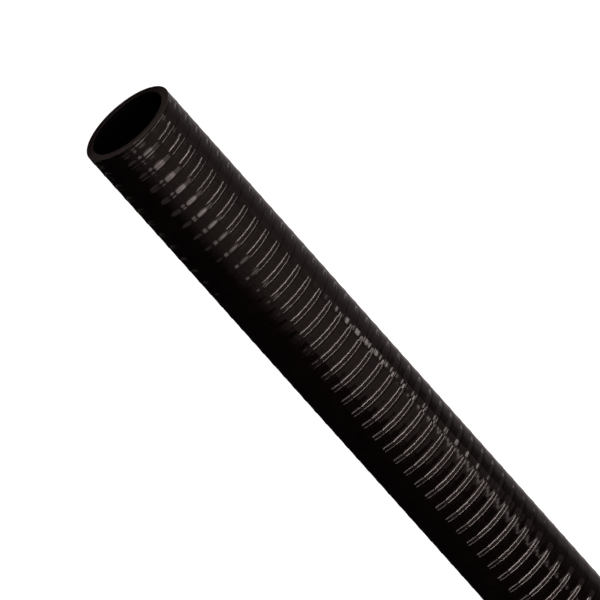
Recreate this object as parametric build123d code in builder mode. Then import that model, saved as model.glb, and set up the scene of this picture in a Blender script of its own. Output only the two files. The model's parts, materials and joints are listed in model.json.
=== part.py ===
from build123d import *
import os

os.makedirs("parts", exist_ok=True)

# A straight length of two inch chemical suction hose, lying on the floor along X.
# It is one moulded piece: a thick flexible wall round an open, smooth bore.
BORE_DIAMETER = 50.8
WALL_THICKNESS = 5.0
HOSE_LENGTH = 1000.0

# A knife leaves the four rims of the two square-cut ends very slightly rounded off.
RIM_BREAK = 0.3

BORE_RADIUS = BORE_DIAMETER / 2
OUTSIDE_RADIUS = BORE_RADIUS + WALL_THICKNESS


# The wall, drawn as a ring that stands on the floor and pulled out along the length.
with BuildPart() as hose:
    with BuildSketch(Plane.YZ.offset(-HOSE_LENGTH / 2)):
        with Locations((0, OUTSIDE_RADIUS)):
            Circle(OUTSIDE_RADIUS)
            Circle(BORE_RADIUS, mode=Mode.SUBTRACT)
    extrude(amount=HOSE_LENGTH)
    chamfer(hose.edges().filter_by(GeomType.CIRCLE), RIM_BREAK)

hose.part.label = "hose"
export_step(hose.part, "parts/hose.step")
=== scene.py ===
import json
import math
import bpy
from mathutils import Matrix, Vector


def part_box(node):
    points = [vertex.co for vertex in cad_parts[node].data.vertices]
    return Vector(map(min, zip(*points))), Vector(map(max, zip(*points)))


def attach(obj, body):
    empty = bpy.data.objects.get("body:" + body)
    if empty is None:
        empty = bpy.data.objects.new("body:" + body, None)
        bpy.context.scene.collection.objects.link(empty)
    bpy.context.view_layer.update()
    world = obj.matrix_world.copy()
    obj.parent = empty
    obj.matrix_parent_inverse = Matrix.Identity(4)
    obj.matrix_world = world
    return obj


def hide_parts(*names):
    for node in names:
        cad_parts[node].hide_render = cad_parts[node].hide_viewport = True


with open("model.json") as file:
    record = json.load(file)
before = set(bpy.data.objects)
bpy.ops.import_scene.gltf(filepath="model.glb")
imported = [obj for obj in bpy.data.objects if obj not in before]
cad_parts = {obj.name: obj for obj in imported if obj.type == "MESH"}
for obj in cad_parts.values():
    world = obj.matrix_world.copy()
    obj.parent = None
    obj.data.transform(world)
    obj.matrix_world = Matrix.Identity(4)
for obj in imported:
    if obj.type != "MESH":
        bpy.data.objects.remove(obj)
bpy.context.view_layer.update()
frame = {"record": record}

# The hose wall. The real one is a flexible, dark brown-black polymer, moulded as a strip that is
# wound round and round and welded to itself, so that each turn ends in a low rounded rib and a
# fine seam. It lies straight on the floor, and a knife has cut both of its open ends square.

MM = 0.001
HOSE_LOW, HOSE_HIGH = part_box("hose")
HOSE_LENGTH = HOSE_HIGH[0] - HOSE_LOW[0]
OUTSIDE_RADIUS = (HOSE_HIGH[1] - HOSE_LOW[1]) / 2
BORE_RADIUS = frame["record"]["mounts"][0]["dims"]["r_mm"] * MM
RIM_BREAK = 0.3 * MM

# The strip. Shares are of the pitch, and go away from the mouth: a nearly flat back behind the
# seam, a slow rise, a rounded crest, and the drop into the next seam.
PITCH = 10.0 * MM
SHARE_AT_MOUTH = 0.7
DROP_SHARE = 0.955
WALL_SIZES = {
    "Length": HOSE_LENGTH,
    "Outside radius": OUTSIDE_RADIUS,
    "Bore radius": BORE_RADIUS,
    "Rim break": RIM_BREAK,
    "Pitch": PITCH,
    "Share at mouth": SHARE_AT_MOUTH,
    "Rise share": 0.4,
    "Crest share": 0.9,
    "Drop share": DROP_SHARE,
    "Rib height": 0.18 * MM,
    "Back crown": 0.016 * MM,
    "Foot softness": 1.5,
    "Unevenness": 0.15,
}
UNEVEN_SPOTS_PER_METRE = 50.0
UNEVEN_SPOTS_ROUND = 0.8

# Where each turn's rows of points lie, and how many other rows and columns the wall has.
TURN_ROWS = (
    0.0, 0.1, 0.2, 0.3, 0.4, 0.48, 0.54, 0.59, 0.64, 0.69,
    0.735, 0.77, 0.8, 0.825, 0.85, 0.875, 0.9, 0.955, 0.978,
)
BORE_ROWS = 26
FACE_ROWS = 5
SEGMENTS_ROUND = 48
WELD_DISTANCE = 0.01 * MM
SHARP_BEND = math.radians(12)


class Number:
    """A socket that Python can reckon with: each sum or product adds the Math node that does it."""

    def __init__(self, graph, socket):
        self.graph = graph
        self.socket = socket

    def math(self, operation, *others):
        return self.graph.node("ShaderNodeMath", {"operation": operation}, self, *others)

    def from_other(self, operation, other):
        return self.graph.node("ShaderNodeMath", {"operation": operation}, other, self)

    def __add__(self, other):
        return self.math("ADD", other)

    def __radd__(self, other):
        return self.math("ADD", other)

    def __sub__(self, other):
        return self.math("SUBTRACT", other)

    def __rsub__(self, other):
        return self.from_other("SUBTRACT", other)

    def __mul__(self, other):
        return self.math("MULTIPLY", other)

    def __rmul__(self, other):
        return self.math("MULTIPLY", other)

    def __truediv__(self, other):
        return self.math("DIVIDE", other)

    def __rtruediv__(self, other):
        return self.from_other("DIVIDE", other)

    def __pow__(self, other):
        return self.math("POWER", other)

    def __mod__(self, other):
        return self.math("FLOORED_MODULO", other)

    def __floordiv__(self, other):
        return self.math("DIVIDE", other).math("FLOOR")

    def least(self, other):
        return self.math("MINIMUM", other)

    def most(self, other):
        return self.math("MAXIMUM", other)

    def sine(self):
        return self.math("SINE")

    def cosine(self):
        return self.math("COSINE")

    def ramp(self, start, end, low=0.0, high=1.0, shape="SMOOTHSTEP"):
        """Low before start and high after end, which may lie either way, with a slope between."""
        settings = {"interpolation_type": shape}
        return self.graph.node("ShaderNodeMapRange", settings, self, start, end, low, high)


class Graph:
    """A node tree under construction."""

    def __init__(self, tree):
        self.tree = tree

    def node(self, kind, settings=None, *values, every_output=False, **named):
        """Adds a node: first its settings, then its sockets by order or by name, set or linked."""
        made = self.tree.nodes.new(kind)
        for name, value in (settings or {}).items():
            setattr(made, name, value)
        sockets = list(zip(made.inputs, values))
        sockets += [(made.inputs[name.replace("_", " ")], value) for name, value in named.items()]
        for socket, value in sockets:
            if isinstance(value, Number):
                self.tree.links.new(value.socket, socket)
            elif value is not None:
                socket.default_value = value
        outputs = [Number(self, socket) for socket in made.outputs if socket.enabled]
        return outputs if every_output else outputs[0]

    def point(self, x, y, z):
        """Three numbers as one vector."""
        return self.node("ShaderNodeCombineXYZ", None, x, y, z)

    def split(self, vector):
        """One vector as three numbers."""
        return self.node("ShaderNodeSeparateXYZ", None, vector, every_output=True)

    def noise(self, vector, scale=1.0, detail=1.0):
        """Random cloudiness, the same in each run."""
        settings = {"noise_dimensions": "3D"}
        return self.node("ShaderNodeTexNoise", settings, Vector=vector, Scale=scale, Detail=detail)


ROUTE_POINTS = 6


def hose_route():
    """The middle line of the hose, as points from the near mouth to the far one."""
    curve = bpy.data.curves.new("hose_route", "CURVE")
    curve.dimensions = "3D"
    spline = curve.splines.new("NURBS")
    spline.points.add(ROUTE_POINTS - 1)
    for number, point in enumerate(spline.points):
        x = HOSE_LOW[0] + HOSE_LENGTH * number / (ROUTE_POINTS - 1)
        point.co = (x, 0.0, OUTSIDE_RADIUS, 1.0)
    spline.order_u = 3
    spline.use_endpoint_u = True
    route = bpy.data.objects.new("hose_route", curve)
    line = bpy.data.meshes.new_from_object(route)
    points = [vertex.co.copy() for vertex in line.vertices]
    bpy.data.objects.remove(route)
    bpy.data.curves.remove(curve)
    bpy.data.meshes.remove(line)
    return points


def hose_wall_tree():
    """The wall as nodes: four grids bent into the outside, the bore and the ends, then welded."""
    tree = bpy.data.node_groups.new("hose_wall", "GeometryNodeTree")
    tree.interface.new_socket("Geometry", in_out="OUTPUT", socket_type="NodeSocketGeometry")
    kinds = {name: "NodeSocketFloat" for name in WALL_SIZES}
    kinds["Material"] = "NodeSocketMaterial"
    inputs = {}
    for name, kind in kinds.items():
        inputs[name] = tree.interface.new_socket(name, in_out="INPUT", socket_type=kind)
    graph = Graph(tree)
    group_in = tree.nodes.new("NodeGroupInput")
    given = {name: Number(graph, group_in.outputs[name]) for name in inputs}
    length, pitch = given["Length"], given["Pitch"]
    outside, bore, rim = given["Outside radius"], given["Bore radius"], given["Rim break"]
    rib_height, back_crown = given["Rib height"], given["Back crown"]
    near = length * -0.5

    def place(x, angle, radius):
        """A point on the wall: angle 0 is the top, and the middle is one radius over the floor."""
        return graph.point(x, angle.sine() * radius * -1.0, angle.cosine() * radius + outside)

    def wall_radius(x, angle):
        """How far the outside stands from the middle line, rib and seam included."""
        share = ((x - near) / pitch - angle / math.tau + given["Share at mouth"]) % 1.0
        spot = graph.point(
            x * UNEVEN_SPOTS_PER_METRE,
            angle.sine() * UNEVEN_SPOTS_ROUND,
            angle.cosine() * UNEVEN_SPOTS_ROUND,
        )
        uneven = 1.0 + (graph.noise(spot) - 0.5) * given["Unevenness"]
        along_rise = share.ramp(given["Rise share"], given["Crest share"], shape="LINEAR")
        rise = (along_rise ** given["Foot softness"]).ramp(0.0, 1.0)
        drop = share.ramp(given["Drop share"], 1.0, 1.0, 0.0)
        rib = rise * drop * rib_height * uneven
        along_back = share.ramp(0.0, given["Rise share"], shape="LINEAR")
        crown = along_back * (1.0 - along_back) * 4.0 * back_crown
        tallest_rib = rib_height * (1.0 + given["Unevenness"] * 0.5)
        return outside - tallest_rib - back_crown + rib + crown

    columns = SEGMENTS_ROUND + 1

    def grid(rows):
        """A flat grid that wraps once round the hose, with each point's row and angle."""
        sizes = (rows - 1.0, columns - 1.0, rows, columns)
        mesh, _ = graph.node("GeometryNodeMeshGrid", None, *sizes, every_output=True)
        across, up, _ = graph.split(graph.node("GeometryNodeInputPosition"))
        row = (across + (rows - 1) / 2).math("ROUND")
        column = (up + (columns - 1) / 2).math("ROUND")
        return mesh, row, column * (math.tau / SEGMENTS_ROUND)

    def moved(mesh, position):
        return graph.node("GeometryNodeSetPosition", None, mesh, Position=position)

    # The outside: its rows follow the turns, and those past a rim are drawn back onto the rim.
    turns = math.ceil(HOSE_LENGTH / PITCH + SHARE_AT_MOUTH) + 1
    outer, row, angle = grid(turns * len(TURN_ROWS) + 1)
    share = tree.nodes.new("GeometryNodeIndexSwitch")
    share.data_type = "FLOAT"
    while len(share.index_switch_items) < len(TURN_ROWS):
        share.index_switch_items.new()
    tree.links.new((row % len(TURN_ROWS)).socket, share.inputs["Index"])
    for number, value in enumerate(TURN_ROWS):
        share.inputs[number + 1].default_value = value
    in_turn = Number(graph, share.outputs[0])
    turn = row // len(TURN_ROWS) + in_turn - 1.0 - given["Share at mouth"]
    x = near + (turn + angle / math.tau) * pitch
    x = x.most(near + rim).least(rim * -1.0 - near)
    outer = moved(outer, place(x, angle, wall_radius(x, angle)))
    outer = graph.node("GeometryNodeFlipFaces", None, outer)

    inner, row, angle = grid(BORE_ROWS)
    x = near + rim + (length - rim * 2.0) * (row / (BORE_ROWS - 1))
    inner = moved(inner, place(x, angle, bore))

    # The cut ends: the outer broken rim, two rings of flat face, and the inner broken rim.
    ends = []
    last_row = FACE_ROWS - 1.0
    for side in (-1.0, 1.0):
        face, row, angle = grid(FACE_ROWS)
        edge = length * 0.5 * side
        outer_edge = wall_radius(edge - rim * side, angle)
        outer_rim = row.ramp(0.0, 1.0, shape="LINEAR") * rim
        inner_rim = row.ramp(last_row - 1.0, last_row, shape="LINEAR") * rim
        flat_width = outer_edge - bore - rim * 2.0
        flat = row.ramp(1.0, last_row - 1.0, shape="LINEAR") * flat_width
        face_x = edge - (rim - outer_rim + inner_rim) * side
        face = moved(face, place(face_x, angle, outer_edge - outer_rim - flat - inner_rim))
        if side > 0:
            face = graph.node("GeometryNodeFlipFaces", None, face)
        ends.append(face)

    joined = tree.nodes.new("GeometryNodeJoinGeometry")
    for piece in (outer, inner, *ends):
        tree.links.new(piece.socket, joined.inputs[0])
    joined = Number(graph, joined.outputs[0])
    welded = graph.node("GeometryNodeMergeByDistance", None, joined, Distance=WELD_DISTANCE)
    smooth = graph.node("GeometryNodeSetShadeSmooth", {"domain": "FACE"}, welded)
    bend = graph.node("GeometryNodeInputMeshEdgeAngle")
    settings = {"data_type": "FLOAT", "operation": "GREATER_THAN"}
    sharp = graph.node("FunctionNodeCompare", settings, bend, SHARP_BEND)
    creased = graph.node("GeometryNodeSetShadeSmooth", {"domain": "EDGE"}, smooth, sharp, False)
    realized = graph.node("GeometryNodeRealizeInstances", None, creased)
    finished = graph.node("GeometryNodeSetMaterial", None, realized, Material=given["Material"])
    group_out = tree.nodes.new("NodeGroupOutput")
    tree.links.new(finished.socket, group_out.inputs[0])
    return tree, inputs


# The finish: glossy and faintly scored outside, with dull weld lines. The scoring is deeper near
# the mouth, where the hose is handled, and the weld lines are mostly rubbed away there.
WALL_DARK = (0.0030, 0.0016, 0.0016, 1.0)
WALL_LIGHT = (0.0050, 0.0028, 0.0028, 1.0)
WALL_TINT = (1.0, 0.89, 0.87, 1.0)
WALL_ROUGHNESS = 0.056
CLOUD_ROUGHNESS = 0.014
CLOUDS_PER_METRE = 110.0
CLOUD_DARK_AT, CLOUD_LIGHT_AT = 0.3, 0.7
WELD_BLACK = (0.002, 0.001, 0.001, 1.0)
WELD_ROUGHNESS = 0.9
WELD_START, WELD_FULL, WELD_END = DROP_SHARE, 0.975, 0.02
WELD_RUBBED = 0.6
RUBBED_START, RUBBED_FULL = 240.0 * MM, 60.0 * MM
SCORES_PER_TURN = 10.0
SCORES_ROUND = 0.4
SCORED_START, SCORED_FULL, SCORED_LAST = 0.42, 0.52, 0.86
SCORED_ELSEWHERE = 0.1
SCORE_DEPTH, MOUTH_SCORE_DEPTH = 0.002 * MM, 0.0055 * MM
DEEPER_START, DEEPER_FULL = 130.0 * MM, 20.0 * MM

# The bore is duller. The cut faces are matt with knife marks, and painted shade darkens their
# colour from the pale upper front side towards the far side.
# The bore's colour is darker than the outside's as painted shade.
BORE_PAINTED_SHADE = (0.001, 0.0007, 0.0007, 1.0)
BORE_ROUGHNESS = 0.28
BORE_START, BORE_FULL = BORE_RADIUS + 1.0 * MM, BORE_RADIUS + 0.8 * MM
# The dark face colour is painted shade.
FACE_PAINTED_SHADE = (0.005, 0.0008, 0.0008, 1.0)
FACE_PALE = (0.036, 0.027, 0.026, 1.0)
FACE_SHADE_AT, FACE_PALE_AT = -14.0 * MM, 8.0 * MM
FACE_UP, FACE_FRONT = 0.87, 0.5
FACE_ROUGHNESS = 0.5
FACE_MARGIN = 0.02 * MM
KNIFE_MARKS_PER_METRE = 200.0, 60.0, 900.0
KNIFE_ROUGHNESS = 0.2
KNIFE_DEPTH = 0.08 * MM


def hose_material():
    """Brown-black polymer. Masks for the outside, the bore and the cut faces share one shader."""
    material = bpy.data.materials.new("hose_wall")
    material.use_nodes = True
    tree = material.node_tree
    tree.nodes.clear()
    graph = Graph(tree)
    spot = Number(graph, tree.nodes.new("ShaderNodeTexCoord").outputs["Object"])
    x, y, z = graph.split(spot)
    height = z - OUTSIDE_RADIUS
    radius = (y * y + height * height) ** 0.5
    angle = (y * -1.0).math("ARCTAN2", height)
    from_mouth = x - HOSE_LOW[0]
    turn = from_mouth / PITCH - angle / math.tau + SHARE_AT_MOUTH
    share = turn % 1.0

    rim = HOSE_LENGTH / 2 - RIM_BREAK
    cut = x.math("ABSOLUTE").ramp(rim - FACE_MARGIN, rim + FACE_MARGIN)
    bore = radius.ramp(BORE_START, BORE_FULL) * (1.0 - cut)
    outside = 1.0 - cut - bore

    # Fine lines that the forming tool scores along each turn: a millimetre apart, and long.
    along_turns = graph.point(
        turn * SCORES_PER_TURN, angle.sine() * SCORES_ROUND, angle.cosine() * SCORES_ROUND
    )
    scores = graph.noise(along_turns, detail=2.0)
    clouds = graph.noise(spot, CLOUDS_PER_METRE, detail=3.0)
    spots = zip((x, y, z), KNIFE_MARKS_PER_METRE)
    knife = graph.noise(graph.point(*(place * often for place, often in spots)), detail=3.0)

    def blend(amount, first, second):
        """One colour turning into another. Five sockets for other kinds of value lie between."""
        settings = {"data_type": "RGBA"}
        return graph.node("ShaderNodeMix", settings, amount, *[None] * 5, first, second)

    wall = blend(clouds.ramp(CLOUD_DARK_AT, CLOUD_LIGHT_AT), WALL_DARK, WALL_LIGHT)
    # Painted shade: the cut face's colour darkens from its upper front side towards its far side.
    upper_front = height * FACE_UP - y * FACE_FRONT
    face = blend(upper_front.ramp(FACE_SHADE_AT, FACE_PALE_AT), FACE_PAINTED_SHADE, FACE_PALE)
    colour = blend(cut, blend(bore, wall, BORE_PAINTED_SHADE), face)

    wall_roughness = WALL_ROUGHNESS + clouds * CLOUD_ROUGHNESS
    face_roughness = FACE_ROUGHNESS + knife * KNIFE_ROUGHNESS
    roughness = outside * wall_roughness + bore * BORE_ROUGHNESS + cut * face_roughness

    on_rise = share.ramp(SCORED_START, SCORED_FULL) * share.ramp(1.0, SCORED_LAST)
    on_rise = on_rise * (1.0 - SCORED_ELSEWHERE) + SCORED_ELSEWHERE
    depth = from_mouth.ramp(DEEPER_START, DEEPER_FULL, SCORE_DEPTH, MOUTH_SCORE_DEPTH)
    relief = outside * scores * on_rise * depth + cut * knife * KNIFE_DEPTH
    bump = graph.node("ShaderNodeBump", None, Strength=1.0, Distance=1.0, Height=relief)

    polymer = graph.node(
        "ShaderNodeBsdfPrincipled", None, Base_Color=colour, Roughness=roughness, Normal=bump,
        Specular_IOR_Level=0.5, Specular_Tint=WALL_TINT,
    )
    weld_line = graph.node(
        "ShaderNodeBsdfPrincipled", None, Base_Color=WELD_BLACK, Roughness=WELD_ROUGHNESS,
        Specular_IOR_Level=0.0,
    )
    rubbed = from_mouth.ramp(RUBBED_START, RUBBED_FULL)
    seam = share.ramp(WELD_START, WELD_FULL) + share.ramp(WELD_END, 0.0)
    seam = outside * seam * (1.0 - rubbed * WELD_RUBBED)
    shader = graph.node("ShaderNodeMixShader", None, seam, polymer, weld_line)
    out = tree.nodes.new("ShaderNodeOutputMaterial")
    tree.links.new(shader.socket, out.inputs["Surface"])
    return material


def make_hose():
    """Runs the wall's tree on an empty holder, and keeps the result as a plain mesh."""
    tree, inputs = hose_wall_tree()
    holder = bpy.data.objects.new("hose_holder", bpy.data.meshes.new("hose_holder"))
    bpy.context.scene.collection.objects.link(holder)
    modifier = holder.modifiers.new("hose_wall", "NODES")
    modifier.node_group = tree
    for name, value in {**WALL_SIZES, "Material": hose_material()}.items():
        modifier[inputs[name].identifier] = value
    seen = holder.evaluated_get(bpy.context.evaluated_depsgraph_get())
    mesh = bpy.data.meshes.new_from_object(seen)
    mesh.name = "suction_hose"
    bpy.data.objects.remove(holder)
    hose = bpy.data.objects.new("suction_hose", mesh)
    bpy.context.scene.collection.objects.link(hose)
    return hose


hose = make_hose()
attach(hose, "root")
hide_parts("hose")
route = hose_route()


# The floor, a plain pale sheet that glows softly like a photographer's light table and rises far
# off into a wall. It is there for the camera alone, so that the hose takes its light and its
# reflections from the lamps.
FLOOR_RINGS = ((82.0, 0.0), (87.0, 1.2), (89.5, 4.0), (90.0, 8.0), (90.0, 90.0))
FLOOR_SIDES = 48
FLOOR_GREY = (0.3, 0.3, 0.3, 1.0)
FLOOR_GLOW = 1.0


def flat_paint(name, colour, glow=0.0):
    """Paint without any shine, which may glow white."""
    material = bpy.data.materials.new(name)
    material.use_nodes = True
    shader = material.node_tree.nodes["Principled BSDF"]
    shader.inputs["Base Color"].default_value = colour
    shader.inputs["Roughness"].default_value = 0.9
    shader.inputs["Specular IOR Level"].default_value = 0.0
    shader.inputs["Emission Color"].default_value = (1.0, 1.0, 1.0, 1.0)
    shader.inputs["Emission Strength"].default_value = glow
    return material


def make_floor():
    points = [(0.0, 0.0, 0.0)]
    for reach, height in FLOOR_RINGS:
        for number in range(FLOOR_SIDES):
            turn = math.tau * number / FLOOR_SIDES
            points.append((reach * math.cos(turn), reach * math.sin(turn), height))
    faces = [(0, 1 + number, 1 + (number + 1) % FLOOR_SIDES) for number in range(FLOOR_SIDES)]
    for ring in range(len(FLOOR_RINGS) - 1):
        first = 1 + ring * FLOOR_SIDES
        above = first + FLOOR_SIDES
        for number in range(FLOOR_SIDES):
            beside = (number + 1) % FLOOR_SIDES
            faces.append((first + number, above + number, above + beside, first + beside))
    mesh = bpy.data.meshes.new("floor")
    mesh.from_pydata(points, [], faces)
    mesh.materials.append(flat_paint("floor", FLOOR_GREY, FLOOR_GLOW))
    floor = bpy.data.objects.new("floor", mesh)
    floor.visible_diffuse = False
    floor.visible_glossy = False
    floor.visible_shadow = False
    bpy.context.scene.collection.objects.link(floor)


make_floor()


# The camera looks down at the hose from its mouth's side, through a very long lens, and is turned
# in its own plane so that the hose runs from the picture's upper left to its lower right corner.
PICTURE_WIDTH_PX = 600
MM_PER_PX = 0.583
VIEW_AXIAL = 0.383
VIEW_RISE = math.radians(60)
ROLL = math.radians(48.28)
MOUTH_TO_MIDDLE_ALONG_PX = 247.2
MOUTH_TO_MIDDLE_ACROSS_PX = 11.4
LENS_MM = 1600.0
SENSOR_MM = 36.0

axis = Vector((1.0, 0.0, 0.0))
view_side = math.sqrt(1.0 - VIEW_AXIAL**2)
to_camera = Vector(
    (-VIEW_AXIAL, -view_side * math.cos(VIEW_RISE), view_side * math.sin(VIEW_RISE))
)
along = (axis - axis.dot(to_camera) * to_camera).normalized()
across = to_camera.cross(along)
mouth = Vector((HOSE_LOW[0], 0.0, OUTSIDE_RADIUS))
shift = along * MOUTH_TO_MIDDLE_ALONG_PX + across * MOUTH_TO_MIDDLE_ACROSS_PX
target = mouth + shift * MM_PER_PX * MM
right = along * math.cos(ROLL) + across * math.sin(ROLL)
up = across * math.cos(ROLL) - along * math.sin(ROLL)
distance = PICTURE_WIDTH_PX * MM_PER_PX * MM * LENS_MM / SENSOR_MM

camera_data = bpy.data.cameras.new("camera")
camera_data.lens = LENS_MM
camera_data.sensor_width = SENSOR_MM
camera_data.clip_end = 200.0
camera = bpy.data.objects.new("camera", camera_data)
turned = Matrix((right, up, to_camera)).transposed().to_4x4()
camera.matrix_world = Matrix.Translation(target + to_camera * distance) @ turned
bpy.context.scene.collection.objects.link(camera)
bpy.context.scene.camera = camera


# The light: a tent of wide dim panels, an arch of narrow bright strips and a black card that
# shades them from the mouth, soft boxes beside the mouth, and small lamps behind the hose. Rise is
# the angle over the hose from the camera's side, in degrees: 90 is straight above.
WARM_WHITE = (1.0, 0.95, 0.92)
DIM_WARM = (1.0, 0.82, 0.8)


def area_light(
    name, rise, lean, far, length, width, radiance, over, colour=WARM_WHITE, shape="RECTANGLE"
):
    """A flat light that faces the hose's middle line at x = over, from far away.

    Its length goes round the hose and its width along it. Its lean is the share of its distance
    that lies along the hose.
    """
    data = bpy.data.lights.new(name, "AREA")
    data.shape = shape
    data.size = width
    data.size_y = length
    data.energy = radiance * math.pi * width * length
    data.color = colour
    light = bpy.data.objects.new(name, data)
    rise = math.radians(rise)
    side = math.sqrt(1.0 - lean**2)
    away = Vector((lean, -side * math.cos(rise), side * math.sin(rise)))
    round_hose = Vector((0.0, math.sin(rise), math.cos(rise)))
    sideways = round_hose.cross(away).normalized()
    facing = Matrix((sideways, away.cross(sideways), away)).transposed().to_4x4()
    aim = Vector((over, 0.0, OUTSIDE_RADIUS))
    light.matrix_world = Matrix.Translation(aim + away * far) @ facing
    light.visible_camera = False
    bpy.context.scene.collection.objects.link(light)


def chord(start, end, far):
    """How long a flat light is that spans two rises, in degrees, from that far away."""
    return 2 * far * math.tan(math.radians(end - start) / 2)


# The tent's panels stand side by side over the hose. Each row is the rise of a panel's two edges,
# how far along the hose it reaches, and its brightness.
TENT_FAR = 1.8
TENT_START = -1.1
TENT = (
    (4, 13, 0.374, 0.04),
    (13, 22, 0.374, 0.09),
    (22, 34, 0.387, 0.16),
    (34, 52, 0.462, 0.21),
    (52, 76, 0.507, 0.26),
    (76, 100, 0.532, 0.28),
    (100, 125, 0.583, 0.25),
    (125, 149, 0.602, 0.17),
    (149, 176, 0.457, 0.11),
)
for number, (start, end, reach, radiance) in enumerate(TENT):
    area_light(
        f"tent_{number}",
        rise=(start + end) / 2,
        lean=0.0,
        far=TENT_FAR,
        length=chord(start, end, TENT_FAR),
        width=reach - TENT_START,
        radiance=radiance,
        over=(reach + TENT_START) / 2,
        colour=DIM_WARM,
    )

# The arch's strips are far away, from low in front of the hose over its top and down behind it.
# The last one stands nearer, so that it shows in the hose's first half alone. Each row is the rise
# of a strip's two ends, how far away it is, its lean along the hose, and its brightness.
ARCH_OVER = -0.26
STRIP_WIDTH_PER_METRE = 0.0126
ARCH = (
    (1, 27, 45.0, 0.324, 6.0),
    (31, 62, 45.0, 0.324, 17.5),
    (62, 86, 45.0, 0.324, 15.5),
    (86, 113, 45.0, 0.324, 13.5),
    (113, 126, 45.0, 0.324, 12.0),
    (126, 138.5, 3.5, 0.287, 7.5),
)
for number, (start, end, far, lean, radiance) in enumerate(ARCH):
    area_light(
        f"arch_{number}",
        rise=(start + end) / 2,
        lean=lean,
        far=far,
        length=chord(start, end, far),
        width=STRIP_WIDTH_PER_METRE * far,
        radiance=radiance,
        over=ARCH_OVER,
    )

# The black card keeps the arch's lower strips off the hose near its mouth. Its far edge leans, so
# that it ends farther from the mouth at the bottom than at the top.
CARD_FAR = 2.5
CARD_BOTTOM, CARD_TOP = math.radians(-4), math.radians(88)
CARD_NEAR_EDGE = 0.195
CARD_FAR_EDGE = 0.545
CARD_EDGE_LEAN = 0.17
CARD_EDGE_BOW = 1.6
CARD_STEPS = 8
BLACK = (0.0, 0.0, 0.0, 1.0)


def black_card():
    mesh = bpy.data.meshes.new("black_card")
    points = []
    for number in range(CARD_STEPS + 1):
        share = number / CARD_STEPS
        rise = CARD_BOTTOM + (CARD_TOP - CARD_BOTTOM) * share
        for x in (CARD_NEAR_EDGE, CARD_FAR_EDGE - CARD_EDGE_LEAN * share**CARD_EDGE_BOW):
            height = OUTSIDE_RADIUS + CARD_FAR * math.sin(rise)
            points.append((x, -CARD_FAR * math.cos(rise), height))
    faces = [(2 * n, 2 * n + 1, 2 * n + 3, 2 * n + 2) for n in range(CARD_STEPS)]
    mesh.from_pydata(points, [], faces)
    mesh.materials.append(flat_paint("black_card", BLACK))
    card = bpy.data.objects.new("black_card", mesh)
    card.visible_camera = False
    bpy.context.scene.collection.objects.link(card)


black_card()

# The oval soft boxes beside the mouth, and a wide one that lights the cut face. Each row is a box's
# name, rise, lean, distance, length, width and brightness.
NEAR_MOUTH = HOSE_LOW[0] + 0.032
MOUTH_BOXES = (
    ("mouth_box_high", 52.0, 0.272, 1.2, 0.54, 0.07, 2.3),
    ("mouth_box_faint", 52.0, 0.304, 1.2, 0.54, 0.085, 0.9),
    ("mouth_box_top", 68.0, 0.267, 1.2, 0.6, 0.07, 0.9),
    ("mouth_box_low", 30.7, 0.304, 1.2, 0.2, 0.085, 1.3),
    ("mouth_box_dim", 9.0, 0.297, 0.9, 0.4, 0.065, 0.25),
)
for box in MOUTH_BOXES:
    area_light(*box, over=NEAR_MOUTH, shape="ELLIPSE")
area_light(
    "face_fill",
    rise=60.0,
    lean=-0.8,
    far=2.0,
    length=1.6,
    width=1.6,
    radiance=1.1,
    over=HOSE_LOW[0],
)

# A small oval lamp behind the hose, a chain of dimmer ones that rise over it and go away from the
# mouth, and two strips that the hose's upper and lower edges show.
LAMP_LEAN = 0.383
area_light(
    "lamp",
    rise=138.5,
    lean=LAMP_LEAN,
    far=1.1,
    length=0.264,
    width=0.033,
    radiance=3.0,
    over=-0.316,
    shape="ELLIPSE",
)
LAMP_CHAIN = 5
FIRST_RISE, RISE_STEP = 127.0, -6.0
FIRST_RADIANCE, RADIANCE_STEP = 1.7, -0.2
FIRST_OVER, OVER_STEP = -0.235, 0.028
for number in range(LAMP_CHAIN):
    area_light(
        f"lamp_chain_{number}",
        rise=FIRST_RISE + RISE_STEP * number,
        lean=LAMP_LEAN,
        far=1.5,
        length=0.2,
        width=0.03,
        radiance=FIRST_RADIANCE + RADIANCE_STEP * number,
        over=FIRST_OVER + OVER_STEP * number,
        shape="ELLIPSE",
    )
EDGE_LEAN = 0.347
area_light(
    "edge_lamp",
    rise=194.0,
    lean=EDGE_LEAN,
    far=12.0,
    length=5.0,
    width=0.15,
    radiance=0.65,
    over=-0.28,
)
area_light(
    "under_lamp",
    rise=-78.0,
    lean=EDGE_LEAN,
    far=2.8,
    length=1.7,
    width=0.05,
    radiance=0.08,
    over=-0.443,
    colour=DIM_WARM,
)

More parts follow.
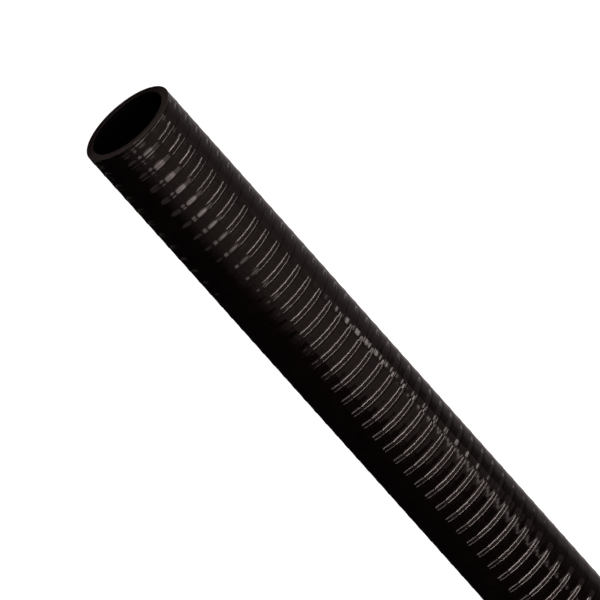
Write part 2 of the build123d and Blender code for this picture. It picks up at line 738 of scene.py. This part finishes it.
# The surroundings that the hose mirrors. Each step behind it is the two rises between which that
# much glow is added. The other pairs are the rises or the leans at which a part starts to show and
# shows in full. A ring's edges are measured from its middle.
ROOM_COLOUR = (1.0, 0.88, 0.86, 1.0)
ROOM_GLOW = 0.004
STEPS_BEHIND = ((120.0, 165.0, 0.07), (165.0, 185.0, 0.13), (195.0, 225.0, 0.12))
BEHIND_RISES = 240.0, 228.0
BEHIND_LEANS = (0.57, 0.47), (-0.35, -0.1)
VEIL_RISES = (-25.0, 25.0), (180.0, 140.0)
VEIL_LEANS = (0.2, 0.08), (0.56, 0.64)
VEIL_GLOW = 0.2
RING_LEANS = -0.727, -0.06, 0.635
RING_EDGES = 0.026, 0.014
RING_GLOW = 3.0


def studio_surroundings():
    """Dark where the picture mirrors it, and elsewhere a dim veil and three bright rings."""
    world = bpy.data.worlds.new("studio")
    world.use_nodes = True
    tree = world.node_tree
    tree.nodes.clear()
    graph = Graph(tree)
    way = Number(graph, tree.nodes.new("ShaderNodeTexCoord").outputs["Generated"])
    lean, y, z = graph.split(way)
    rise = (z.math("ARCTAN2", y * -1.0) + math.pi / 2) % math.tau - math.pi / 2

    def over_rise(start, end):
        return rise.ramp(math.radians(start), math.radians(end))

    behind = 0.0
    for start, end, glow in STEPS_BEHIND:
        behind = over_rise(start, end) * glow + behind
    behind = behind * over_rise(*BEHIND_RISES)
    for leans in BEHIND_LEANS:
        behind = behind * lean.ramp(*leans)
    above = over_rise(*VEIL_RISES[0]) * over_rise(*VEIL_RISES[1])
    veil = lean.ramp(*VEIL_LEANS[0]) + lean.ramp(*VEIL_LEANS[1])
    rings = 0.0
    for middle in RING_LEANS:
        rings = (lean - middle).math("ABSOLUTE").ramp(*RING_EDGES) + rings
    glow = behind.most(above * (veil * VEIL_GLOW + rings * RING_GLOW)) + ROOM_GLOW
    background = graph.node("ShaderNodeBackground", None, ROOM_COLOUR, glow)
    out = tree.nodes.new("ShaderNodeOutputWorld")
    tree.links.new(background.socket, out.inputs["Surface"])
    bpy.context.scene.world = world


studio_surroundings()
bpy.context.scene.view_settings.view_transform = "Standard"
